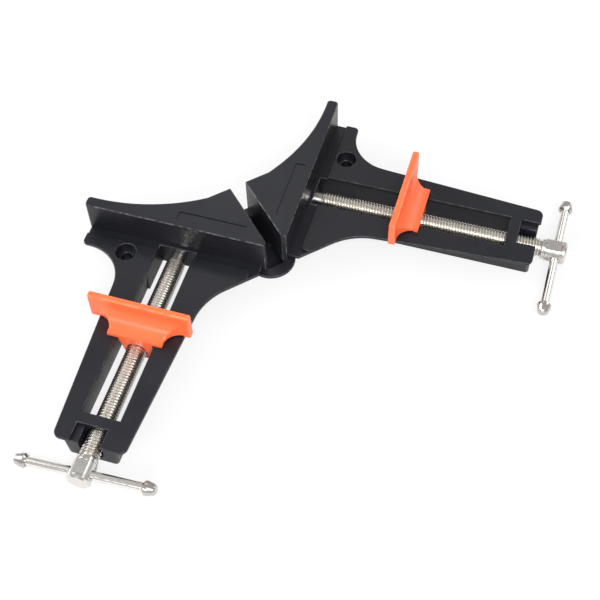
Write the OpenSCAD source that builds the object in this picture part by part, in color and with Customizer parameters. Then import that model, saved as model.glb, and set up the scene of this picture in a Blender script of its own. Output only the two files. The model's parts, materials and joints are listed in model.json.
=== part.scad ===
// Corner clamp for right-angle joints: one cast body with two arms, each with a screw-driven jaw.
// Each arm is drawn as the right one, along +X, from the corner where the two jaw planes meet.
// The left arm is its mirror image, along -Y. The bench is z = 0.
// The part's origin lies on the bench, midway between the two bench holes.

/* [Body] */
// Height of the arm plates above the bench
plate_top = 12; // [11.5:0.1:16]
// Thickness of the arm plates
plate_t = 1.5; // [1.2:0.1:2.2]
// Distance from the corner to each screw line, along the jaw
arm_axis = 45; // [43:0.5:55]
// Distance from the corner to the end of an arm
arm_end = 97.4; // [95:0.2:130]
// Half width of an arm where it leaves the flare
arm_root_half = 18.8; // [17:0.1:21]
// Half width of an arm at its end
arm_end_half = 14.6; // [12.5:0.1:17]
// Radius of the arm's end corners
arm_corner_r = 3; // [1.5:0.1:4]
// Radius of the hollow curve beside the flare
flare_r = 17.3; // [15:0.1:20]
// Radius of the hollow curve at the front of an arm
front_r = 26; // [15:0.5:32]
// Distance of the straight front edges behind the corner
front_set = 2.1; // [1:0.1:3]
// Width of the relief groove along the foot of the fixed jaw
groove_w = 4.1; // [2:0.1:6]
// Depth of the relief groove
groove_depth = 1.2; // [0.5:0.1:1.6]
// Half width of the foot under an arm, at the bench
foot_half = 10.2; // [9.8:0.1:12]
// Inward slope of the foot's sides over its height
foot_draft = 1.2; // [0.4:0.1:2]
// Distance of the foot's end wall behind the arm's end
foot_inset = 0.8; // [0.4:0.1:2]

/* [Fixed jaw] */
// Height of the fixed jaws above the arm plates
jaw_rise = 13; // [10:0.5:20]
// Distance from the corner to the near end of a jaw face
jaw_near = 7; // [6:0.1:9]
// Length of a jaw face
jaw_len = 78.2; // [75:0.2:90]
// Thickness of the jaw at its far tip
jaw_tip_t = 4.8; // [3.5:0.1:6]
// Radius of the tip's corners
jaw_tip_r = 1.4; // [0.6:0.1:1.7]
// Width of the saw slot between the jaw blocks
saw_slot_w = 6.9; // [5:0.1:8]
// Drop of the saw slot's floor below the arm plates
saw_floor_drop = 9; // [6:0.5:10]
// Distance of the blocks' back faces behind the corner
back_depth = 38.9; // [35:0.1:41]
// Length of the straight back face of a block
back_flat = 10.5; // [8:0.1:12]
// Radius of the rounded tongue at the front of the saw slot
tongue_r = 10.1; // [9:0.1:12]
// Thickness of the tongue
tongue_t = 1.5; // [1:0.1:4]
// Depth of the tongue's top below the arm plate's top
tongue_drop = 3.2; // [3:0.1:5]
// Distance of the tongue's inner edge from the corner of the jaws
tongue_edge = 5; // [3:0.1:6]
// Length of the raised rear end of the web under the saw slot
rear_web = 5; // [3:0.1:8]
// How far the web reaches under the jaw blocks, past each side of the saw slot
web_lip = 3; // [2:0.1:4]
// Length of the plain recessed panel on a block's top
panel_l = 29.5; // [15:0.5:32]
// Width of the panel
panel_w = 4.6; // [3:0.1:5]
// Depth of the panel
panel_depth = 0.4; // [0.2:0.1:1]
// Thickness of the wall that carries a screw's journal
journal_wall = 4.4; // [3.5:0.1:5]

/* [Bench holes] */
// Diameter of the bench screw holes
mount_d = 4.5; // [3:0.1:5.5]
// Diameter of their counterbores
mount_cbore_d = 8.4; // [7:0.1:10]
// Depth of the counterbores
mount_cbore_depth = 3.5; // [2:0.1:5]
// Distance of a hole from its jaw face
mount_x = 9.3; // [8:0.1:10.5]
// Distance of a hole outside its screw line
mount_off = 20; // [18:0.1:22]
// Wall of the boss around a bench hole's counterbore
mount_wall = 1.2; // [0.8:0.1:2]

/* [Screw] */
// Thread diameter
screw_d = 8; // [7:0.1:8.4]
// Thread pitch
screw_pitch = 1.25; // [1:0.05:2]
// Depth of a screw's axis below the arm plate
screw_drop = 6.5; // [6.2:0.1:6.6]
// Diameter of the plain journal
journal_d = 6.4; // [5.5:0.1:6.6]
// Distance of the thread's first crest from the fixed jaw
thread_start = 4.5; // [3:0.1:7]
// Thickness of the thrust washer
washer_t = 1; // [0.6:0.1:1.4]
// Thickness of the retaining clip
clip_t = 0.7; // [0.4:0.05:1]

/* [Slot] */
// Width of the slot in an arm
slot_w = 15.6; // [15:0.1:17]
// Distance from the fixed jaw to the slot's outer end
slot_end = 84.5; // [80:0.5:86]
// Width of the bridge over a screw
bridge_w = 4.8; // [3:0.1:6]
// Clear height left over a screw under the bridge
bridge_gap = 0.7; // [0.4:0.05:0.9]
// Width of the ledge beside the end notch
ledge_w = 3; // [1.5:0.1:4]
// Drop of the ledge below the arm plate
ledge_drop = 1.8; // [0.8:0.1:2.2]

/* [Sliding jaw] */
// Opening of the right jaws as drawn
right_open = 38.2; // [1:0.1:70]
// Opening of the left jaws as drawn
left_open = 39.4; // [1:0.1:70]
// Length of a sliding jaw
slider_l = 42.6; // [38:0.2:56]
// Offset of a sliding jaw beyond its screw line
slider_shift = 0.4; // [-1:0.1:1]
// Height of a sliding jaw above the arm plate
slider_rise = 12.6; // [9:0.1:18]
// Thickness of a sliding jaw at its foot
slider_t = 3; // [2.8:0.1:4]
// Thickness of a sliding jaw at its top
slider_top_t = 2.8; // [1.8:0.1:3]
// Width of the buttress behind a sliding jaw
buttress_w = 23; // [18:0.2:26]
// Reach of the buttress behind the jaw face
buttress_reach = 10.6; // [9:0.1:13]
// Radius of the buttress's hollow sides
buttress_r = 6.4; // [4:0.1:7]
// Thickness of the buttress's outer edge
buttress_edge = 1.5; // [1:0.1:3]
// Radius of the saddle's round lower part
saddle_r = 6.2; // [5.8:0.1:6.6]
// Outer diameter of the threaded insert in a saddle
nut_d = 10.4; // [10:0.1:10.8]
// Length of the threaded insert
nut_l = 6.7; // [5:0.1:7]

/* [Handle] */
// Diameter of a screw's head
head_d = 9.2; // [8.8:0.1:10]
// Distance across the two flats of the head
head_flat = 7.6; // [7.2:0.1:8.4]
// Length of the head's flatted part
head_l = 6.5; // [6:0.1:8]
// Diameter of the head's end disc
disc_d = 9.6; // [9:0.1:10.4]
// Thickness of the end disc
disc_t = 2.1; // [1:0.1:3]
// Diameter of the collar behind the head
collar_d = 8.6; // [8.2:0.1:9.2]
// Length of the collar
collar_l = 1.6; // [1:0.1:3]
// Diameter of the pin through the head
pin_d = 1.2; // [0.8:0.1:1.4]
// Diameter of a tommy bar
bar_d = 3.6; // [3:0.1:3.8]
// Length of a tommy bar over its end caps
bar_l = 58; // [50:0.5:75]
// Diameter of an end cap
cap_d = 5.8; // [5.2:0.1:7]
// Length of an end cap
cap_l = 5; // [4.5:0.1:7]
// Offset of the right bar along itself as drawn
right_shift = -2.7; // [-6:0.1:6]
// Offset of the left bar along itself as drawn
left_shift = -1.2; // [-6:0.1:6]
// Turn of the right screw as drawn
right_turn = 2.4; // [-6:0.1:6]
// Turn of the left screw as drawn
left_turn = -6; // [-6:0.1:6]

/* [Fits] */
// Radial gap of a shaft turning or sliding in its hole
run_gap = 0.06; // [0.03:0.01:0.1]
// Gap between a sliding jaw and the body
slide_gap = 0.3; // [0.2:0.05:0.5]
// Gap between pressed or screwed parts of one assembly
press_gap = 0.02; // [0.01:0.01:0.03]

/* [Hidden] */
$fn = 96;
eps = 0.5;
root_x = 30;
jaw_far = jaw_near + jaw_len;
jaw_top = plate_top + jaw_rise;
pad_floor = plate_top - groove_depth;
plate_bottom = plate_top - plate_t;
saw_floor = plate_top - saw_floor_drop;
screw_z = plate_top - screw_drop;
screw_r = screw_d / 2;
// The arm's straight sides: half width falls by side_slope per unit of length.
side_slope = (arm_root_half - arm_end_half) / (arm_end - root_x);
side_norm = sqrt(1 + side_slope * side_slope);
function side_half(x) = arm_root_half - side_slope * (x - root_x);
// Hollow curve between the flare and the arm's outer side.
flare_x = mount_x + 0.6;
flare_c = [flare_x + flare_r, arm_axis + side_half(flare_x + flare_r) + flare_r * side_norm];
flare_t = [flare_c[0] - flare_r * side_slope / side_norm, flare_c[1] - flare_r / side_norm];
// Hollow curve between the front edge, y = x + front_c, and the arm's inner side.
front_c = front_set * sqrt(2);
front_k = arm_axis - side_half(0);
front_cx = (front_r * (sqrt(2) - side_norm) + front_k - front_c) / (1 - side_slope);
front_ctr = [front_cx, front_k + side_slope * front_cx - front_r * side_norm];
front_t1 = [front_ctr[0] - front_r / sqrt(2), front_ctr[1] + front_r / sqrt(2)];
front_t2 = [front_ctr[0] - front_r * side_slope / side_norm, front_ctr[1] + front_r / side_norm];
plate_near = jaw_near + 1.6;
plate_far = jaw_far - 0.8;
pad_near = jaw_near + 5.2;
pad_r = 2;
slab_set = front_c + 1.2;
// Jaw block corners in plan.
mitre_c = saw_slot_w / sqrt(2);
block_back = [(mitre_c - back_depth * sqrt(2)) / 2, (mitre_c + back_depth * sqrt(2)) / 2];
block_knee = [block_back[0] + back_flat / sqrt(2), block_back[1] + back_flat / sqrt(2)];
back_y = jaw_far - 4;
back_u = -block_knee[0] - jaw_tip_t;
back_v = back_y - block_knee[1];
back_r = (back_u * back_u + back_v * back_v) / (2 * back_u);
tongue_c = (tongue_r - 0.4) / sqrt(2);
tongue_z = plate_top - tongue_drop;
block_set = 9;
// Passage for the screw under the bridge and along the end notch.
pass_r = screw_r + bridge_gap;
notch_x = slot_end + bridge_w;
foot_end = arm_end - foot_inset;
jaw_foot_x = 17;
foot_set = front_c + 12.5;
// Sliding jaw.
slider_z0 = plate_top + slide_gap;
slider_top = plate_top + slider_rise;
saddle_half = slot_w / 2 - slide_gap;
saddle_x0 = 2;
saddle_x1 = buttress_reach - 0.3;
saddle_floor = 0.8;
nut_x0 = saddle_x0 + 0.8;
hollow_r = buttress_reach - slider_top_t;
// Spindle stations along the arm.
thread_r0 = screw_r - 0.61 * screw_pitch;
head_x = arm_end + 2.4;
shank_d = screw_d - 2;
bar_x = head_x + collar_l + head_l - bar_d / 2 - 0.1;
shank_end = bar_x - bar_d / 2 - 0.6;
pin_x = shank_end - pin_d / 2 - 0.5;
washer_x = -journal_wall - run_gap;
clip_x = washer_x - washer_t - run_gap;
journal_end = clip_x - clip_t - 1;
groove_r = journal_d / 2 - 0.7;
pocket_x = journal_end - 1;
pocket_half = journal_d / 2 + 2.1;
cap_bore = cap_l - 1.6;
origin_shift = (arm_axis + mount_off - mount_x) / 2;

// Flat slab from z0 to z1 with the listed corners. Corner [x, y, r] is rounded to radius r.
function unit(v) = v / norm(v);
function corner_in(p, i) = unit([for (k = [0, 1]) p[(i + len(p) - 1) % len(p)][k] - p[i][k]]);
function corner_out(p, i) = unit([for (k = [0, 1]) p[(i + 1) % len(p)][k] - p[i][k]]);
function corner_half(p, i) = acos(corner_in(p, i) * corner_out(p, i)) / 2;
function corner_cut(p, i) = p[i][2] / tan(corner_half(p, i));
function corner_pts(p, i) = p[i][2] == 0
  ? [[p[i][0], p[i][1]]]
  : [[p[i][0], p[i][1]] + corner_in(p, i) * corner_cut(p, i),
     [p[i][0], p[i][1]] + corner_out(p, i) * corner_cut(p, i)];
function corner_ctr(p, i) = [p[i][0], p[i][1]]
  + unit(corner_in(p, i) + corner_out(p, i)) * p[i][2] / sin(corner_half(p, i));
module slab(p, z0, z1) {
  translate([0, 0, z0])
    linear_extrude(z1 - z0)
      polygon([for (i = [0:len(p) - 1]) for (q = corner_pts(p, i)) q]);
  for (i = [0:len(p) - 1])
    if (p[i][2] > 0)
      translate([corner_ctr(p, i)[0], corner_ctr(p, i)[1], z0])
        cylinder(r = p[i][2], h = z1 - z0);
}

// Solid of revolution about the right screw's axis from [x, r] pairs along it.
module turned(profile) {
  translate([0, arm_axis, screw_z])
    rotate([0, 90, 0])
      rotate_extrude()
        polygon([for (q = profile) [q[1], q[0]]]);
}

// Round bar or cutter along the screw axis from x0 to x1.
module along_screw(r, x0, x1) {
  translate([x0, arm_axis, screw_z])
    rotate([0, 90, 0])
      cylinder(r = r, h = x1 - x0);
}

// Prism along the arm with the given corners [y from the screw line, z].
module along_arm(corners, x0, x1) {
  translate([x0, arm_axis, 0])
    rotate([90, 0, 90])
      linear_extrude(x1 - x0)
        polygon(corners);
}

// Box from corner a to corner b.
module box(a, b) {
  translate(a)
    cube([b[0] - a[0], b[1] - a[1], b[2] - a[2]]);
}

// Mirrors a part of the right arm into the left arm.
module mirrored() {
  mirror([1, 1, 0])
    children();
}

// Turns a part about the right screw's axis.
module turn_screw(a) {
  translate([0, arm_axis, screw_z])
    rotate([a, 0, 0])
      translate([0, -arm_axis, -screw_z])
        children();
}

// Arm plate with its flare, from left edge x0 and near edge y0, between two heights.
module arm_plate(x0, y0, r0, z0, z1) {
  difference() {
    slab([
      [x0, y0, r0],
      [y0 - front_c, y0, 0],
      [front_t1[0], front_t1[1], 0],
      [front_t2[0], front_t2[1], 0],
      [arm_end, arm_axis - side_half(arm_end), arm_corner_r],
      [arm_end, arm_axis + side_half(arm_end), arm_corner_r],
      [flare_t[0], flare_t[1], 0],
      [flare_x, flare_c[1], 0],
      [flare_x, plate_far, 2],
      [x0, plate_far, 0]], z0, z1);
    translate([flare_c[0], flare_c[1], z0 - eps])
      cylinder(r = flare_r, h = z1 - z0 + 2 * eps, $fn = 180);
    translate([front_ctr[0], front_ctr[1], z0 - eps])
      cylinder(r = front_r, h = z1 - z0 + 2 * eps, $fn = 180);
  }
}

// Raised jaw block with its straight jaw face, mitre face and hollow back, undercut at the corner.
module jaw_block() {
  difference() {
    slab([
      [0, jaw_near, 0],
      [0, jaw_far, jaw_tip_r],
      [-jaw_tip_t, jaw_far, jaw_tip_r],
      [-jaw_tip_t, back_y, 0],
      [block_knee[0], block_knee[1], 0],
      [block_back[0], block_back[1], 0],
      [mitre_c - jaw_near, jaw_near, 0]], 0, jaw_top);
    intersection() {
      translate([-jaw_tip_t - back_r, back_y, -eps])
        cylinder(r = back_r, h = jaw_top + 2 * eps, $fn = 360);
      box([-back_depth, block_knee[1], -1], [0, jaw_far, jaw_top + 1]);
    }
    box([-back_depth, 0, -eps], [eps, jaw_near + block_set, tongue_z - tongue_t / 2]);
  }
}

// Foot under the flare, set back from the plate's edges, the trapezoid foot along the arm, and
// the boss of the bench hole.
module arm_feet() {
  foot_top = plate_bottom + 0.2;
  slab([
    [-1, foot_set - 1, 0],
    [jaw_foot_x, jaw_foot_x + foot_set, 0],
    [jaw_foot_x, arm_axis + slot_w / 2 + 6, 0],
    [mount_x + 2, arm_axis + mount_off + 5, 0],
    [2.5, jaw_far - 9, 0],
    [2.5, jaw_far - 4, 0],
    [-1, jaw_far - 4, 0]], 0, foot_top);
  along_arm([
    [-foot_half, 0],
    [foot_half, 0],
    [foot_half + foot_draft, foot_top],
    [-foot_half - foot_draft, foot_top]], jaw_foot_x - 1, foot_end);
  translate([mount_x, arm_axis + mount_off, 0])
    cylinder(d = mount_cbore_d + 2 * mount_wall, h = foot_top);
}

// Openings of one arm: slot, channel, screw passage, end notch, ledge, bench hole and journal.
module arm_cuts() {
  slot_half = slot_w / 2;
  box([1.2, arm_axis - slot_half, -eps], [jaw_foot_x, arm_axis + slot_half, plate_top + eps]);
  box([jaw_foot_x - eps, arm_axis - slot_half, plate_bottom - 1],
      [slot_end, arm_axis + slot_half, plate_top + eps]);
  along_arm([
    [-slot_half - 1, -eps],
    [slot_half + 1, -eps],
    [slot_half, plate_bottom - 0.4],
    [-slot_half, plate_bottom - 0.4]], jaw_foot_x, slot_end);
  along_screw(pass_r, slot_end - eps, arm_end + eps);
  box([notch_x, arm_axis - pass_r, screw_z], [arm_end + eps, arm_axis + pass_r, plate_top + eps]);
  box([notch_x, arm_axis, plate_top - ledge_drop],
      [arm_end + eps, arm_axis + pass_r + ledge_w, plate_top + eps]);
  translate([mount_x, arm_axis + mount_off, -eps])
    cylinder(d = mount_d, h = plate_top + 2 * eps);
  translate([mount_x, arm_axis + mount_off, plate_top - mount_cbore_depth])
    cylinder(d = mount_cbore_d, h = mount_cbore_depth + eps);
  along_screw(journal_d / 2 + run_gap, -journal_wall - eps, 1.5);
  box([pocket_x, arm_axis - pocket_half, -eps],
      [-journal_wall, arm_axis + pocket_half, screw_z + pocket_half]);
  panel_recess();
}

// Plain rounded panel sunk into a block's top, parallel to the jaw.
module panel_recess() {
  x0 = -3 - panel_w;
  y0 = jaw_near + 9.5;
  r = 1;
  translate([0, 0, jaw_top - panel_depth]) {
    box([x0 + r, y0, 0], [x0 + panel_w - r, y0 + panel_l, panel_depth + eps]);
    box([x0, y0 + r, 0], [x0 + panel_w, y0 + panel_l - r, panel_depth + eps]);
    for (x = [x0 + r, x0 + panel_w - r])
      for (y = [y0 + r, y0 + panel_l - r])
        translate([x, y, 0])
          cylinder(r = r, h = panel_depth + eps);
  }
}

// Solid parts of one arm, before its openings are cut.
module arm_solid() {
  slab([
    [-1, plate_near, 0],
    [plate_near - slab_set, plate_near, 0],
    [pad_near + 2.5 - slab_set, pad_near + 2.5, 0],
    [groove_w + 2, pad_near + 2.5, 0],
    [groove_w + 2, plate_far, 0],
    [-1, plate_far, 0]], pad_floor - plate_t, pad_floor);
  arm_plate(groove_w, pad_near, pad_r, plate_bottom, plate_top);
  jaw_block();
  arm_feet();
}

// Web under the saw slot, round in front and raised at its rear end, and the rounded tongue over it.
module saw_web() {
  web_half = saw_slot_w / 2 + web_lip;
  web_end = back_depth - 0.5;
  slot_half = saw_slot_w / 2 + 0.3;
  web_ctr = tongue_edge + 1.3 + web_half;
  rotate([0, 0, 135]) {
    translate([web_ctr, 0, 0])
      cylinder(r = web_half, h = saw_floor);
    box([web_ctr, -web_half, 0], [web_end - 1, web_half, saw_floor]);
    box([web_end - rear_web, -web_half, 0], [web_end, web_half, tongue_z]);
  }
  difference() {
    translate([-tongue_c, tongue_c, tongue_z - tongue_t])
      cylinder(r = tongue_r, h = tongue_t);
    rotate([0, 0, 135])
      box([tongue_edge, -slot_half, 0], [back_depth, slot_half, jaw_top]);
  }
}

// One-piece cast body.
module body_casting() {
  color("#333336")
    on_right()
      difference() {
        union() {
          arm_solid();
          mirrored()
            arm_solid();
          saw_web();
        }
        arm_cuts();
        mirrored()
          arm_cuts();
      }
}

// Sliding jaw: tapered plate, hollow-sided buttress and saddle around the screw.
module sliding_jaw(open) {
  color("#ff7040")
    translate([open, 0, 0])
      difference() {
        union() {
          slider_plate();
          slider_buttress();
          slider_saddle();
        }
        along_screw(nut_d / 2 + press_gap, nut_x0 - press_gap, nut_x0 + nut_l + press_gap);
        along_screw(screw_r + slide_gap, saddle_x0 - eps, saddle_x1 + eps);
      }
}

// Jaw plate, thinner towards its top.
module slider_plate() {
  translate([0, arm_axis + slider_shift + slider_l / 2, 0])
    rotate([90, 0, 0])
      linear_extrude(slider_l)
        polygon([
          [0, slider_z0],
          [slider_t, slider_z0],
          [slider_t, slider_z0 + 1.2],
          [slider_top_t, slider_top],
          [0, slider_top]]);
}

// Buttress with a hollow top and hollow sides.
module slider_buttress() {
  side_y = buttress_w / 2 + buttress_r;
  hollow_z = slider_z0 + buttress_edge + hollow_r;
  difference() {
    box([1, arm_axis - side_y, slider_z0],
        [buttress_reach, arm_axis + side_y, min(hollow_z, slider_top - 1)]);
    translate([slider_top_t + hollow_r, arm_axis + side_y + eps, hollow_z])
      rotate([90, 0, 0])
        cylinder(r = hollow_r, h = 2 * side_y + 2 * eps);
    for (s = [-1, 1])
      translate([slider_t + buttress_r, arm_axis + s * side_y, slider_z0 - eps])
        cylinder(r = buttress_r, h = slider_rise + 2 * eps);
    for (s = [-1, 1])
      box([slider_t + buttress_r, arm_axis + s * side_y - buttress_r, slider_z0 - eps],
          [buttress_reach + buttress_r, arm_axis + s * side_y + buttress_r, slider_top + eps]);
  }
}

// Saddle: full width in the slot, tapering to a round lower part, cut flat over the bench.
module slider_saddle() {
  along_arm([
    [-saddle_half, slider_z0 + 1],
    [-saddle_half, plate_bottom - 1],
    [-saddle_r, screw_z],
    [saddle_r, screw_z],
    [saddle_half, plate_bottom - 1],
    [saddle_half, slider_z0 + 1]], saddle_x0, saddle_x1);
  intersection() {
    along_screw(saddle_r, saddle_x0, saddle_x1);
    box([saddle_x0 - eps, arm_axis - slot_w, saddle_floor],
        [saddle_x1 + eps, arm_axis + slot_w, screw_z + eps]);
  }
}

// Threaded insert moulded into the saddle. Its bore is drawn plain over the thread's crests.
module jaw_nut(open) {
  color("#c9a24a")
    translate([open, 0, 0])
      turned([
        [nut_x0, screw_r + run_gap],
        [nut_x0 + nut_l, screw_r + run_gap],
        [nut_x0 + nut_l, nut_d / 2],
        [nut_x0, nut_d / 2]]);
}

// Spindle: journal with a clip groove, thread drawn as rings, and a shank for the head.
module spindle() {
  n = floor((head_x - thread_start - 0.4) / screw_pitch);
  thread_end = thread_start + n * screw_pitch;
  rings = [for (i = [0:n - 1]) for (q = [[0, thread_r0], [0.44, screw_r], [0.56, screw_r]])
    [thread_start + (i + q[0]) * screw_pitch, q[1]]];
  color("#cfcac2")
    difference() {
      turned(concat(
        [[journal_end, 0],
         [journal_end, journal_d / 2 - 0.4],
         [journal_end + 0.4, journal_d / 2],
         [clip_x - clip_t - run_gap, journal_d / 2],
         [clip_x - clip_t - run_gap, groove_r],
         [clip_x + run_gap, groove_r],
         [clip_x + run_gap, journal_d / 2],
         [thread_start - 0.3, journal_d / 2]],
        rings,
        [[thread_end, thread_r0],
         [head_x - 0.1, thread_r0],
         [head_x - 0.1, shank_d / 2],
         [shank_end, shank_d / 2],
         [shank_end, 0]]));
      pin_hole();
    }
}

// Cross hole for the pin, through the head and the shank, parallel to the bar.
module pin_hole() {
  translate([pin_x, arm_axis + head_d, screw_z])
    rotate([90, 0, 0])
      cylinder(d = pin_d + 2 * press_gap, h = 2 * head_d, $fn = 32);
}

// Head: collar, round body with two flats and an end disc, cross-drilled for the bar and the pin.
module spindle_head() {
  x1 = head_x + collar_l;
  x2 = x1 + head_l;
  x3 = x2 + disc_t;
  color("#d2cdc6")
    difference() {
      union() {
        along_screw(collar_d / 2, head_x, x1 + eps);
        intersection() {
          along_screw(head_d / 2, x1, x2 + eps);
          box([x1 - eps, arm_axis - head_d, screw_z - head_flat / 2],
              [x3, arm_axis + head_d, screw_z + head_flat / 2]);
        }
        turned([
          [x2, 0],
          [x2, disc_d / 2 - 0.4],
          [x2 + 0.4, disc_d / 2],
          [x3 - 0.8, disc_d / 2],
          [x3, disc_d / 2 - 0.8],
          [x3, 0]]);
      }
      along_screw(shank_d / 2 + press_gap, head_x - eps, shank_end + press_gap);
      pin_hole();
      translate([bar_x, arm_axis + head_d, screw_z])
        rotate([90, 0, 0])
          cylinder(r = bar_d / 2 + run_gap, h = 2 * head_d);
    }
}

// Pin that locks the head to the shank.
module head_pin() {
  half = head_d / 2 - 0.1;
  color("#9a968f")
    translate([pin_x, arm_axis + half, screw_z])
      rotate([90, 0, 0])
        cylinder(d = pin_d, h = 2 * half, $fn = 32);
}

// Washer between the journal wall and the clip.
module thrust_washer() {
  color("#b9b5ae")
    turned([
      [washer_x - washer_t, journal_d / 2 + press_gap],
      [washer_x, journal_d / 2 + press_gap],
      [washer_x, pocket_half - 0.5],
      [washer_x - washer_t, pocket_half - 0.5]]);
}

// Open retaining clip in the journal's groove.
module retaining_clip() {
  color("#7d7a75")
    difference() {
      turned([
        [clip_x - clip_t, groove_r + press_gap],
        [clip_x, groove_r + press_gap],
        [clip_x, journal_d / 2 + 1.2],
        [clip_x - clip_t, journal_d / 2 + 1.2]]);
      box([clip_x - clip_t - eps, arm_axis - groove_r * 0.8, -head_d],
          [clip_x + eps, arm_axis + groove_r * 0.8, screw_z]);
    }
}

// Solid of revolution about the tommy bar's axis from [y from its middle, r] pairs.
module bar_turned(shift, profile) {
  translate([bar_x, arm_axis + shift, screw_z])
    rotate([-90, 0, 0])
      rotate_extrude()
        polygon([for (q = profile) [q[1], q[0]]]);
}

// Tommy bar, sliding through the head.
module tommy_bar(shift) {
  end = bar_l / 2 - cap_l + cap_bore - press_gap;
  color("#d6d2cb")
    bar_turned(shift, [[-end, 0], [-end, bar_d / 2], [end, bar_d / 2], [end, 0]]);
}

// End cap pressed on the bar: a sloped shoulder, a ring and a taper to a flat end. Side is 1 or -1.
module bar_cap(shift, side) {
  y0 = bar_l / 2 - cap_l;
  y1 = bar_l / 2;
  r = cap_d / 2;
  profile = [
    [y0, bar_d / 2 + press_gap],
    [y0, bar_d / 2 + 0.4],
    [y0 + 0.8, r],
    [y0 + 1.7, r],
    [y1 - 0.6, r * 0.74],
    [y1, r * 0.74 - 0.6],
    [y1, 0],
    [y0 + cap_bore, 0],
    [y0 + cap_bore, bar_d / 2 + press_gap]];
  color("#d6d2cb")
    bar_turned(shift, [for (q = profile) [side * q[0], q[1]]]);
}

// Moves the corner so that the origin lies midway between the bench holes.
module on_right() {
  translate([origin_shift, -origin_shift, 0])
    children();
}

// Places a part of the right arm, mirrored, on the left arm.
module on_left() {
  translate([origin_shift, -origin_shift, 0])
    mirrored()
      children();
}

body_casting();
on_right() sliding_jaw(right_open);  // right_sliding_jaw
on_right() jaw_nut(right_open);  // right_jaw_nut
on_right() turn_screw(right_turn) spindle();  // right_spindle
on_right() turn_screw(right_turn) spindle_head();  // right_spindle_head
on_right() turn_screw(right_turn) head_pin();  // right_head_pin
on_right() turn_screw(right_turn) thrust_washer();  // right_thrust_washer
on_right() turn_screw(right_turn) retaining_clip();  // right_retaining_clip
on_right() turn_screw(right_turn) tommy_bar(right_shift);  // right_tommy_bar
on_right() turn_screw(right_turn) bar_cap(right_shift, 1);  // right_bar_cap_outer
on_right() turn_screw(right_turn) bar_cap(right_shift, -1);  // right_bar_cap_inner
on_left() sliding_jaw(left_open);  // left_sliding_jaw
on_left() jaw_nut(left_open);  // left_jaw_nut
on_left() turn_screw(left_turn) spindle();  // left_spindle
on_left() turn_screw(left_turn) spindle_head();  // left_spindle_head
on_left() turn_screw(left_turn) head_pin();  // left_head_pin
on_left() turn_screw(left_turn) thrust_washer();  // left_thrust_washer
on_left() turn_screw(left_turn) retaining_clip();  // left_retaining_clip
on_left() turn_screw(left_turn) tommy_bar(left_shift);  // left_tommy_bar
on_left() turn_screw(left_turn) bar_cap(left_shift, 1);  // left_bar_cap_outer
on_left() turn_screw(left_turn) bar_cap(left_shift, -1);  // left_bar_cap_inner
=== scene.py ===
"""Corner clamp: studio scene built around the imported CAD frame. Lengths are in metres."""
import json
import math

import bmesh
import bpy
from mathutils import Matrix, Vector

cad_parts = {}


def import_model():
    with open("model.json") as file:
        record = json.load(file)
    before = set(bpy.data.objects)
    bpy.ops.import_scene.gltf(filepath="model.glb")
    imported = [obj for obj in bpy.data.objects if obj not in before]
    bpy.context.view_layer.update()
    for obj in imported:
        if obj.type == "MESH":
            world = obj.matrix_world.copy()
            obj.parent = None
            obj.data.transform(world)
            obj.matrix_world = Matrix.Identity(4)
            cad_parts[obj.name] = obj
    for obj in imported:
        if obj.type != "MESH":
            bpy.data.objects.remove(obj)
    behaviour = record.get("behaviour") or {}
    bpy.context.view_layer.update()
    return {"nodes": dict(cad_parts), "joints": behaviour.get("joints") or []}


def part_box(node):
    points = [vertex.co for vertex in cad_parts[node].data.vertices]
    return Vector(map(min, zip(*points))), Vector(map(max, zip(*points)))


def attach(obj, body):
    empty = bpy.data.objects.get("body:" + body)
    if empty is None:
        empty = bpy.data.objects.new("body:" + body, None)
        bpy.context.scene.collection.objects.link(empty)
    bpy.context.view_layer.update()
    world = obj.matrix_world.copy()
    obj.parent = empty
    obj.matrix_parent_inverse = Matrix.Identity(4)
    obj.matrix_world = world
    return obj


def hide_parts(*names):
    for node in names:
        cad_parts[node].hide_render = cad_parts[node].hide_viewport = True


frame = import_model()
nodes = frame["nodes"]
MM = 0.001

# Places on the right arm, which runs along X. The left arm is its mirror image.
screw_joint = next(joint for joint in frame["joints"] if joint["name"] == "right_screw_spin")
JAW_FACE, SCREW_Y, SCREW_Z = screw_joint["pos_m"]
SCREW_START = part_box("right_spindle")[0][0]
HEAD_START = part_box("right_spindle_head")[0][0]
ARM_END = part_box("body_casting")[1][0]
JAW_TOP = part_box("body_casting")[1][2]

# Thread of the screws.
THREAD_PITCH = 1.25 * MM
THREAD_R = 4.0 * MM
THREAD_ROOT = 3.24 * MM
THREAD_START = JAW_FACE + 4.5 * MM
THREAD_END = HEAD_START - 0.4 * MM
# The thread carries painted shade up to the first of these radii, and is bright from the second.
ROOT_SHADE_R = THREAD_ROOT + 0.02 * MM
SHADE_END_R = THREAD_ROOT + 0.4 * MM
# Edges of the crest and of the groove, in pitches from the crest's middle.
CREST_HALF = 0.11
GROOVE_FROM = 0.4
# The thread rises and dies away over this many turns at its ends.
FADE_TURNS = 0.6
TURN_STEPS = 40
# The thread's root goes on this far past the first and the last turn.
RUN_IN = 0.6 * MM
RUN_OUT = 0.3 * MM

# Plain stretches of the screws. The clip's groove is measured from the screw's inner end.
JOURNAL_R = 3.2 * MM
JOURNAL_CHAMFER = 0.4 * MM
CLIP_GROOVE_FROM = 0.94 * MM
CLIP_GROOVE_TO = 1.76 * MM
CLIP_GROOVE_R = 2.5 * MM
JOURNAL_END = THREAD_START - 0.4 * MM
CORE_R = THREAD_ROOT - 0.03 * MM
CORE_START = THREAD_START - 0.3 * MM
CORE_END = HEAD_START - 0.3 * MM
SHANK_R = 3.0 * MM
SHANK_START = HEAD_START - 0.1 * MM
SHANK_END = HEAD_START + 3.6 * MM
CORE_STEPS = 64
THREAD_SHARP_ANGLE = 28.0

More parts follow.
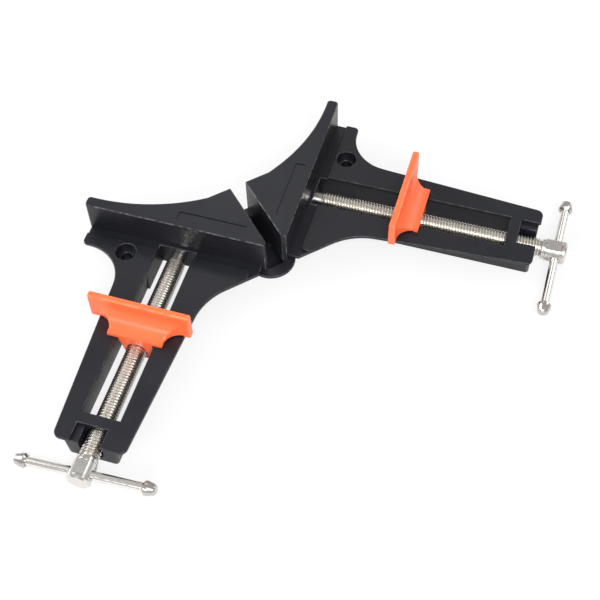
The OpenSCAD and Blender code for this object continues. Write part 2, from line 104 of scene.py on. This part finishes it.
# Widths of rounded edges.
CASTING_ROUND = 0.4 * MM
JAW_ROUND = 0.8 * MM
HEAD_ROUND = 0.3 * MM
CAP_ROUND = 0.25 * MM
FOOT_ROUND = 1.4 * MM
FOOT_SEGMENTS = 4
# The feet end this far inside the casting's box, and their upright edges are longer than this.
FOOT_INSET = 0.8 * MM
FOOT_EDGE_L = 8.0 * MM
NEAR = 0.05 * MM
# Edges that turn more than this are rounded. Angles are in degrees.
SHARP_ANGLE = 32.0
# Room that a face needs beside a rounded edge, in widths.
ROUND_ROOM = 2.2
# Points closer than these are merged before and after rounding.
WELD = 0.002 * MM
SLIVER = 0.004 * MM
# Faces that turn less than this from one to the next are joined before rounding.
FLAT_ANGLE = 0.3
# How far a face's normal may turn from another and still be counted with it.
STRIP_TURN = 60.0
FACE_TURN = 22.0
# Face attribute that marks the rounded strips.
STRIP_MARK = "rounded_strip"

# Noise mostly stays between these two values.
NOISE_LOW = 0.3
NOISE_HIGH = 0.7
# Turning marks on plated metal: how much they are drawn out around it, and what they add to its roughness.
MARK_SQUEEZE = 0.04
MARK_ROUGH = 0.1
# Worn edges with a painted highlight along them: where the noise makes a patch, and how much of the wear
# and highlight is left lower down than the jaws' top.
PATCH_FROM = 0.4
PATCH_FULL = 0.62
WEAR_AND_HIGHLIGHT_BELOW = 0.3
WEAR_AND_HIGHLIGHT_STARTS = JAW_TOP - 2.0 * MM
WEAR_AND_HIGHLIGHT_FULL = JAW_TOP - 0.6 * MM

# Share of plain white in the floor, as the camera sees it and as reflections show it.
FLOOR_WHITE = 0.8
FLOOR_REFLECTED = 0.3
# Half of the floor's side, and its place under the bench plane.
FLOOR_HALF = 3.0
FLOOR_DROP = 0.05 * MM
WORLD_STRENGTH = 0.55


# Node helpers.
def new_material(name):
    mat = bpy.data.materials.new(name)
    mat.use_nodes = True
    tree = mat.node_tree
    return mat, tree, tree.nodes["Principled BSDF"]


def node(tree, kind, **values):
    made = tree.nodes.new(kind)
    for key, value in values.items():
        if key in made.inputs:
            made.inputs[key].default_value = value
        else:
            setattr(made, key, value)
    return made


# One step of arithmetic on sockets and plain numbers.
def maths(tree, operation, *values):
    made = node(tree, "ShaderNodeMath", operation=operation)
    for socket, value in zip(made.inputs, values):
        if isinstance(value, float):
            socket.default_value = value
        else:
            tree.links.new(value, socket)
    return made.outputs["Value"]


def noise(tree, coords, scale, detail=3.0, rough=0.55):
    made = node(tree, "ShaderNodeTexNoise", Scale=scale, Detail=detail, Roughness=rough)
    tree.links.new(coords, made.inputs["Vector"])
    return made.outputs["Fac"]


def remap(tree, fac, low, high, from_low=0.0, from_high=1.0):
    made = node(tree, "ShaderNodeMapRange")
    made.inputs["From Min"].default_value = from_low
    made.inputs["From Max"].default_value = from_high
    made.inputs["To Min"].default_value = low
    made.inputs["To Max"].default_value = high
    tree.links.new(fac, made.inputs["Value"])
    return made.outputs["Result"]


# A value, and a colour, that wander between two limits as a noise does.
def wander(tree, fac, low, high):
    return remap(tree, fac, low, high, NOISE_LOW, NOISE_HIGH)


def wander_colour(tree, fac, dark, light):
    made = tree.nodes.new("ShaderNodeValToRGB")
    places = ((NOISE_LOW, dark), (NOISE_HIGH, light))
    for element, (place, colour) in zip(made.color_ramp.elements, places):
        element.position = place
        element.color = (*colour, 1.0)
    tree.links.new(fac, made.inputs["Fac"])
    return made.outputs["Color"]


# A mix node's colours are its inputs 6 and 7 and its output 2.
def blend_colour(tree, fac, a, b):
    made = node(tree, "ShaderNodeMix", data_type="RGBA")
    tree.links.new(fac, made.inputs["Factor"])
    for index, value in ((6, a), (7, b)):
        if isinstance(value, tuple):
            made.inputs[index].default_value = (*value, 1.0)
        else:
            tree.links.new(value, made.inputs[index])
    return made.outputs[2]


def bump(tree, shader, height, strength, distance):
    made = node(tree, "ShaderNodeBump", Strength=strength, Distance=distance)
    tree.links.new(height, made.inputs["Height"])
    tree.links.new(made.outputs["Normal"], shader.inputs["Normal"])


def object_coords(tree):
    return tree.nodes.new("ShaderNodeTexCoord").outputs["Object"]


def split_coords(tree, coords):
    made = tree.nodes.new("ShaderNodeSeparateXYZ")
    tree.links.new(coords, made.inputs["Vector"])
    return made.outputs


# Rounded edges, where a coating wears thin in places and a painted highlight runs along them. The top of
# the jaws rubs most and carries the brightest painted highlight.
def edge_wear_and_highlight(tree, coords, share):
    strip = node(tree, "ShaderNodeAttribute", attribute_name=STRIP_MARK).outputs["Fac"]
    patches = remap(tree, noise(tree, coords, scale=420.0), 0.0, share, PATCH_FROM, PATCH_FULL)
    height = split_coords(tree, coords)["Z"]
    rubbed_and_lit = remap(tree, height, WEAR_AND_HIGHLIGHT_BELOW, 1.0, WEAR_AND_HIGHLIGHT_STARTS, WEAR_AND_HIGHLIGHT_FULL)
    return maths(tree, "MULTIPLY", maths(tree, "MULTIPLY", strip, patches), rubbed_and_lit)


def black_coating():
    mat, tree, shader = new_material("black_coating")
    coords = object_coords(tree)
    cloud = noise(tree, coords, scale=55.0, detail=4.0)
    grain = noise(tree, coords, scale=2600.0, detail=2.0, rough=0.6)
    base = wander_colour(tree, cloud, (0.0078, 0.0083, 0.0118), (0.011, 0.0115, 0.0156))
    # Lighter grey on the rounded edges: worn coating and a painted highlight.
    worn_and_highlit = blend_colour(tree, edge_wear_and_highlight(tree, coords, share=0.9), base, (0.1, 0.101, 0.108))
    tree.links.new(worn_and_highlit, shader.inputs["Base Color"])
    tree.links.new(wander(tree, cloud, 0.3, 0.4), shader.inputs["Roughness"])
    shader.inputs["Specular IOR Level"].default_value = 0.37
    bump(tree, shader, grain, strength=0.12, distance=0.12 * MM)
    return mat


def orange_coating():
    mat, tree, shader = new_material("orange_jaw")
    coords = object_coords(tree)
    cloud = noise(tree, coords, scale=70.0)
    grain = noise(tree, coords, scale=1800.0, detail=2.0)
    base = wander_colour(tree, cloud, (0.9, 0.132, 0.041), (0.94, 0.148, 0.049))
    # Lighter orange on the rounded edges: worn paint and a painted highlight.
    worn_and_highlit = blend_colour(tree, edge_wear_and_highlight(tree, coords, share=0.5), base, (1.0, 0.27, 0.11))
    tree.links.new(worn_and_highlit, shader.inputs["Base Color"])
    tree.links.new(wander(tree, cloud, 0.27, 0.36), shader.inputs["Roughness"])
    shader.inputs["Specular IOR Level"].default_value = 0.45
    bump(tree, shader, grain, strength=0.06, distance=0.1 * MM)
    return mat


# Plated metal with faint turning marks around an axis: 0 is X, 1 is Y.
def plated(name, dark, light, rough, axis):
    mat, tree, shader = new_material(name)
    coords = object_coords(tree)
    squeeze = [MARK_SQUEEZE] * 3
    squeeze[axis] = 1.0
    stretch = node(tree, "ShaderNodeMapping", Scale=squeeze)
    tree.links.new(coords, stretch.inputs["Vector"])
    marks = noise(tree, stretch.outputs["Vector"], scale=5200.0, detail=2.0)
    cloud = noise(tree, coords, scale=160.0)
    tree.links.new(wander_colour(tree, cloud, dark, light), shader.inputs["Base Color"])
    shader.inputs["Metallic"].default_value = 1.0
    tree.links.new(wander(tree, marks, rough, rough + MARK_ROUGH), shader.inputs["Roughness"])
    bump(tree, shader, marks, strength=0.08, distance=0.04 * MM)
    return mat


# Plated thread: bright crests, and roots darkened with painted shade.
def threaded(side):
    mat, tree, shader = new_material(side + "_thread")
    coords = object_coords(tree)
    place = split_coords(tree, coords)
    along, across, sign = ("X", "Y", 1.0) if side == "right" else ("Y", "X", -1.0)
    radial = node(tree, "ShaderNodeCombineXYZ")
    tree.links.new(maths(tree, "SUBTRACT", place[across], sign * SCREW_Y), radial.inputs["X"])
    tree.links.new(maths(tree, "SUBTRACT", place["Z"], SCREW_Z), radial.inputs["Y"])
    radius = node(tree, "ShaderNodeVectorMath", operation="LENGTH")
    tree.links.new(radial.outputs["Vector"], radius.inputs["Vector"])
    raised = remap(tree, radius.outputs["Value"], 0.0, 1.0, ROOT_SHADE_R, SHADE_END_R)
    # The journal before the thread is plain, so no painted shade darkens it.
    journal = remap(tree, place[along], 1.0, 0.0, sign * (THREAD_START - RUN_IN), sign * JOURNAL_END)
    unshaded = maths(tree, "MAXIMUM", raised, journal)
    cloud = noise(tree, coords, scale=160.0)
    bright = wander_colour(tree, cloud, (0.86, 0.83, 0.79), (0.93, 0.91, 0.87))
    # The root colour is painted shade; the crest colour is the plating's own.
    tree.links.new(blend_colour(tree, unshaded, (0.56, 0.525, 0.465), bright), shader.inputs["Base Color"])
    shader.inputs["Metallic"].default_value = 1.0
    tree.links.new(remap(tree, unshaded, 0.38, 0.26), shader.inputs["Roughness"])
    return mat


def paint(obj, mat):
    obj.data.materials.clear()
    obj.data.materials.append(mat)


# How far a face reaches away from one of its edges.
def reach(face, edge):
    start = edge.verts[0].co
    along = (edge.verts[1].co - start).normalized()
    return max(((v.co - start) - along * (v.co - start).dot(along)).length for v in face.verts)


def can_round(edge, width):
    if len(edge.link_faces) != 2 or not edge.is_convex:
        return False
    if edge.calc_face_angle() < math.radians(SHARP_ANGLE):
        return False
    return min(reach(face, edge) for face in edge.link_faces) > ROUND_ROOM * width


# Upright edges at the outer ends of the feet, which are rounder than the casting's other edges.
def foot_corners(bm):
    end = ARM_END - FOOT_INSET - NEAR
    found = []
    for edge in bm.edges:
        a, b = (vert.co for vert in edge.verts)
        upright = abs(a.z - b.z) > FOOT_EDGE_L
        if upright and min(max(a.x, -a.y), max(b.x, -b.y)) > end:
            found.append(edge)
    return found


# Rounds edges and marks the new strips smooth.
def round_edges(bm, edges, width, segments):
    strips = bmesh.ops.bevel(bm, geom=edges, offset=width, offset_type="OFFSET", segments=segments,
                             profile=0.5, affect="EDGES", clamp_overlap=False, loop_slide=True)
    for face in strips["faces"]:
        face.smooth = True


def within(faces, normal, angle):
    limit = math.cos(math.radians(angle))
    return [face for face in faces if face.normal.dot(normal) > limit]


# Normals for a mesh whose rounded strips are marked smooth. The faces between the strips keep
# the normals they had before rounding, and each strip turns from one face to the next.
def hold_faces(mesh):
    around = [[] for _ in mesh.vertices]
    for face in mesh.polygons:
        for index in face.vertices:
            around[index].append(face)
    normals = []
    for face in mesh.polygons:
        for index in face.vertices:
            plain = [other for other in around[index] if not other.use_smooth]
            if face.use_smooth:
                pool = within(plain, face.normal, STRIP_TURN) or around[index]
            else:
                pool = within(plain, face.normal, FACE_TURN)
            total = Vector()
            for other in pool:
                total += other.normal * other.area / MM ** 2
            normals.append(total.normalized() if total.length > 0.0 else face.normal.copy())
    mark = mesh.attributes.new(STRIP_MARK, "FLOAT", "FACE")
    for face in mesh.polygons:
        mark.data[face.index].value = 1.0 if face.use_smooth else 0.0
        face.use_smooth = True
    mesh.normals_split_custom_set(normals)


def link_piece(name, bm, body, replaced):
    mesh = bpy.data.meshes.new(name)
    bm.to_mesh(mesh)
    bm.free()
    obj = bpy.data.objects.new(name, mesh)
    bpy.context.scene.collection.objects.link(obj)
    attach(obj, body)
    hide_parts(replaced)
    return obj


# A node's shape with its sharp outer edges rounded, for the highlights that run along them.
def rounded(node_name, body, width, segments=3, softer=None):
    bm = bmesh.new()
    bm.from_mesh(nodes[node_name].data)
    bmesh.ops.remove_doubles(bm, verts=bm.verts, dist=WELD)
    bmesh.ops.dissolve_limit(bm, angle_limit=math.radians(FLAT_ANGLE), verts=bm.verts, edges=bm.edges)
    for face in bm.faces:
        face.smooth = False
    if softer:
        round_edges(bm, softer(bm), FOOT_ROUND, FOOT_SEGMENTS)
    round_edges(bm, [edge for edge in bm.edges if can_round(edge, width)], width, segments)
    bmesh.ops.remove_doubles(bm, verts=bm.verts, dist=SLIVER)
    bmesh.ops.dissolve_degenerate(bm, dist=SLIVER, edges=bm.edges)
    obj = link_piece(node_name + "_rounded", bm, body, node_name)
    hold_faces(obj.data)
    return obj


# A point of the right screw, or its mirror image on the left one.
def screw_point(side, x, radius, angle):
    y = SCREW_Y + radius * math.cos(angle)
    z = SCREW_Z + radius * math.sin(angle)
    return Vector((x, y, z)) if side == "right" else Vector((-y, -x, z))


# Closed tube whose wall is a helical thread, swept by the thread's section. Both screws are right-hand.
def thread_tube(bm, side):
    section = [(-0.5, THREAD_ROOT), (-GROOVE_FROM, THREAD_ROOT), (-CREST_HALF, THREAD_R),
               (CREST_HALF, THREAD_R), (GROOVE_FROM, THREAD_ROOT)]
    count = int((THREAD_END - THREAD_START) / THREAD_PITCH * TURN_STEPS)
    fade_steps = FADE_TURNS * TURN_STEPS
    hand = 1.0 if side == "right" else -1.0
    rows = []
    for i in range(count + 1):
        middle = THREAD_START + THREAD_PITCH * i / TURN_STEPS
        fade = min(1.0, i / fade_steps, (count - i) / fade_steps)
        angle = hand * 2 * math.pi * i / TURN_STEPS
        row = []
        for offset, radius in section:
            x = min(max(middle + offset * THREAD_PITCH, THREAD_START - RUN_IN), THREAD_END + RUN_OUT)
            faded = THREAD_ROOT + (radius - THREAD_ROOT) * fade
            row.append(bm.verts.new(screw_point(side, x, faded, angle)))
        rows.append(row)
    for i in range(count):
        for k in range(len(section) - 1):
            bm.faces.new((rows[i][k], rows[i][k + 1], rows[i + 1][k + 1], rows[i + 1][k]))
        ahead = i + TURN_STEPS
        if ahead < count:
            bm.faces.new((rows[i][-1], rows[ahead][0], rows[ahead + 1][0], rows[i + 1][-1]))
        elif ahead == count:
            bm.faces.new((rows[i][-1], rows[ahead][0], rows[i + 1][-1]))
    ends = bmesh.ops.holes_fill(bm, edges=[edge for edge in bm.edges if edge.is_boundary], sides=0)
    bmesh.ops.poke(bm, faces=ends["faces"])
    bmesh.ops.recalc_face_normals(bm, faces=bm.faces)
    if bm.calc_volume(signed=True) < 0.0:
        bmesh.ops.reverse_faces(bm, faces=bm.faces)


# Plain core of a screw: journal with its clip groove, a rod inside the thread, and the shank in the head.
def screw_core(bm, side):
    groove = [(SCREW_START + CLIP_GROOVE_FROM, JOURNAL_R), (SCREW_START + CLIP_GROOVE_FROM, CLIP_GROOVE_R),
              (SCREW_START + CLIP_GROOVE_TO, CLIP_GROOVE_R), (SCREW_START + CLIP_GROOVE_TO, JOURNAL_R)]
    profile = [(SCREW_START, 0.0), (SCREW_START, JOURNAL_R - JOURNAL_CHAMFER),
               (SCREW_START + JOURNAL_CHAMFER, JOURNAL_R), *groove,
               (JOURNAL_END, JOURNAL_R), (CORE_START, CORE_R), (CORE_END, CORE_R),
               (SHANK_START, SHANK_R), (SHANK_END, SHANK_R), (SHANK_END, 0.0)]
    rings = []
    for x, radius in profile:
        steps = CORE_STEPS if radius > 0.0 else 1
        angles = [2 * math.pi * k / steps for k in range(steps)]
        rings.append([bm.verts.new(screw_point(side, x, radius, angle)) for angle in angles])
    made = []
    for a, b in zip(rings, rings[1:]):
        for k in range(CORE_STEPS):
            j = (k + 1) % CORE_STEPS
            if len(a) == 1:
                made.append(bm.faces.new((a[0], b[k], b[j])))
            elif len(b) == 1:
                made.append(bm.faces.new((a[k], b[0], a[j])))
            else:
                made.append(bm.faces.new((a[k], b[k], b[j], a[j])))
    bmesh.ops.recalc_face_normals(bm, faces=made)


def helical_spindle(side):
    bm = bmesh.new()
    thread_tube(bm, side)
    screw_core(bm, side)
    obj = link_piece(side + "_threaded_spindle", bm, side + "_screw", side + "_spindle")
    for face in obj.data.polygons:
        face.use_smooth = True
    obj.data.set_sharp_from_angle(angle=math.radians(THREAD_SHARP_ANGLE))
    return obj


black = black_coating()
orange = orange_coating()
steel = plated("plain_steel", (0.34, 0.33, 0.31), (0.42, 0.41, 0.39), rough=0.32, axis=0)
dark_steel = plated("spring_steel", (0.11, 0.105, 0.1), (0.16, 0.15, 0.145), rough=0.35, axis=0)
paint(rounded("body_casting", "body", CASTING_ROUND, softer=foot_corners), black)
for side, axis, bar_axis in (("right", 0, 1), ("left", 1, 0)):
    nickel = plated(side + "_nickel", (0.64, 0.618, 0.588), (0.71, 0.685, 0.655),
                    rough=0.14, axis=axis)
    bar_nickel = plated(side + "_bar_nickel", (0.76, 0.73, 0.69), (0.83, 0.8, 0.76),
                        rough=0.12, axis=bar_axis)
    cap_nickel = plated(side + "_cap_nickel", (0.5, 0.48, 0.455), (0.58, 0.555, 0.53),
                        rough=0.16, axis=bar_axis)
    paint(rounded(side + "_sliding_jaw", side + "_jaw", JAW_ROUND, segments=4), orange)
    paint(rounded(side + "_spindle_head", side + "_screw", HEAD_ROUND), nickel)
    for piece in ("_bar_cap_outer", "_bar_cap_inner"):
        paint(rounded(side + piece, side + "_bar", CAP_ROUND), cap_nickel)
    for piece in ("_jaw_nut", "_head_pin", "_thrust_washer"):
        paint(nodes[side + piece], steel)
    paint(nodes[side + "_retaining_clip"], dark_steel)
    paint(nodes[side + "_tommy_bar"], bar_nickel)
    paint(helical_spindle(side), threaded(side))


# How much plain white each kind of ray meets on the floor. Rays that carry light meet none.
def white_share(tree):
    path = tree.nodes.new("ShaderNodeLightPath").outputs
    mirrored = maths(tree, "MAXIMUM", path["Is Glossy Ray"], path["Is Transmission Ray"])
    reflected = remap(tree, mirrored, 0.0, FLOOR_REFLECTED)
    seen = remap(tree, path["Is Camera Ray"], 0.0, FLOOR_WHITE)
    return maths(tree, "MAXIMUM", seen, reflected)


# Pale floor just under the bench plane. It shows white to the camera, less so to reflections,
# and keeps a faint shadow.
def floor():
    mesh = bpy.data.meshes.new("floor")
    bm = bmesh.new()
    bmesh.ops.create_grid(bm, x_segments=8, y_segments=8, size=FLOOR_HALF)
    bm.to_mesh(mesh)
    bm.free()
    obj = bpy.data.objects.new("floor", mesh)
    obj.location = (0, 0, -FLOOR_DROP)
    bpy.context.scene.collection.objects.link(obj)
    mat, tree, shader = new_material("floor_white")
    cloud = noise(tree, object_coords(tree), scale=3.0)
    pale = wander_colour(tree, cloud, (0.74, 0.74, 0.74), (0.78, 0.78, 0.78))
    tree.links.new(pale, shader.inputs["Base Color"])
    shader.inputs["Roughness"].default_value = 0.9
    shader.inputs["Specular IOR Level"].default_value = 0.1
    white = node(tree, "ShaderNodeEmission", Color=(1.0, 1.0, 1.0, 1.0), Strength=1.0)
    mixed = tree.nodes.new("ShaderNodeMixShader")
    tree.links.new(white_share(tree), mixed.inputs["Fac"])
    tree.links.new(shader.outputs["BSDF"], mixed.inputs[1])
    tree.links.new(white.outputs["Emission"], mixed.inputs[2])
    tree.links.new(mixed.outputs["Shader"], tree.nodes["Material Output"].inputs["Surface"])
    mesh.materials.append(mat)


def world():
    made = bpy.data.worlds.new("studio")
    bpy.context.scene.world = made
    made.use_nodes = True
    tree = made.node_tree
    tree.nodes.clear()
    out = tree.nodes.new("ShaderNodeOutputWorld")
    soft = node(tree, "ShaderNodeBackground", Color=(1.0, 1.0, 1.0, 1.0), Strength=WORLD_STRENGTH)
    tree.links.new(soft.outputs["Background"], out.inputs["Surface"])


def area_light(name, place, aim, size, power):
    data = bpy.data.lights.new(name, "AREA")
    data.shape = "RECTANGLE"
    data.size, data.size_y = size
    data.energy = power
    obj = bpy.data.objects.new(name, data)
    obj.location = place
    obj.rotation_euler = (Vector(aim) - Vector(place)).to_track_quat("-Z", "Y").to_euler()
    bpy.context.scene.collection.objects.link(obj)


floor()
world()
area_light("key", place=(0.45, -0.75, 0.95), aim=(0, -0.03, 0), size=(0.6, 0.6), power=12.4)
area_light("fill", place=(-0.95, -0.1, 0.7), aim=(0, -0.03, 0), size=(0.7, 0.7), power=7.6)
area_light("front", place=(-0.22, -1.0, 0.64), aim=(0, -0.08, 0), size=(0.45, 0.16), power=3.2)
area_light("corner", place=(-0.25, 0.58, 0.8), aim=(0.02, -0.02, 0.02), size=(0.2, 0.14), power=0.28)
area_light("rim", place=(0.85, 0.72, 0.78), aim=(0.05, -0.03, 0), size=(0.7, 0.7), power=3.0)

# Camera fitted to the photograph: the directions to its right, up and back, and its place.
camera_right = Vector((0.95686, 0.28998, -0.01864))
camera_up = Vector((-0.22753, 0.78759, 0.57268))
camera_back = Vector((0.18074, -0.54372, 0.81958))
camera_place = Vector((123.75, -294.14, 394.25)) * MM
camera_data = bpy.data.cameras.new("camera")
camera_data.sensor_fit = "HORIZONTAL"
camera_data.sensor_width = 36.0
camera_data.lens = 69.70
camera_data.clip_start = 0.01
camera = bpy.data.objects.new("camera", camera_data)
camera_turn = Matrix((camera_right, camera_up, camera_back)).transposed().to_4x4()
camera.matrix_world = Matrix.Translation(camera_place) @ camera_turn
bpy.context.scene.collection.objects.link(camera)
bpy.context.scene.camera = camera
bpy.context.scene.view_settings.view_transform = "Standard"

bpy.context.view_layer.update()
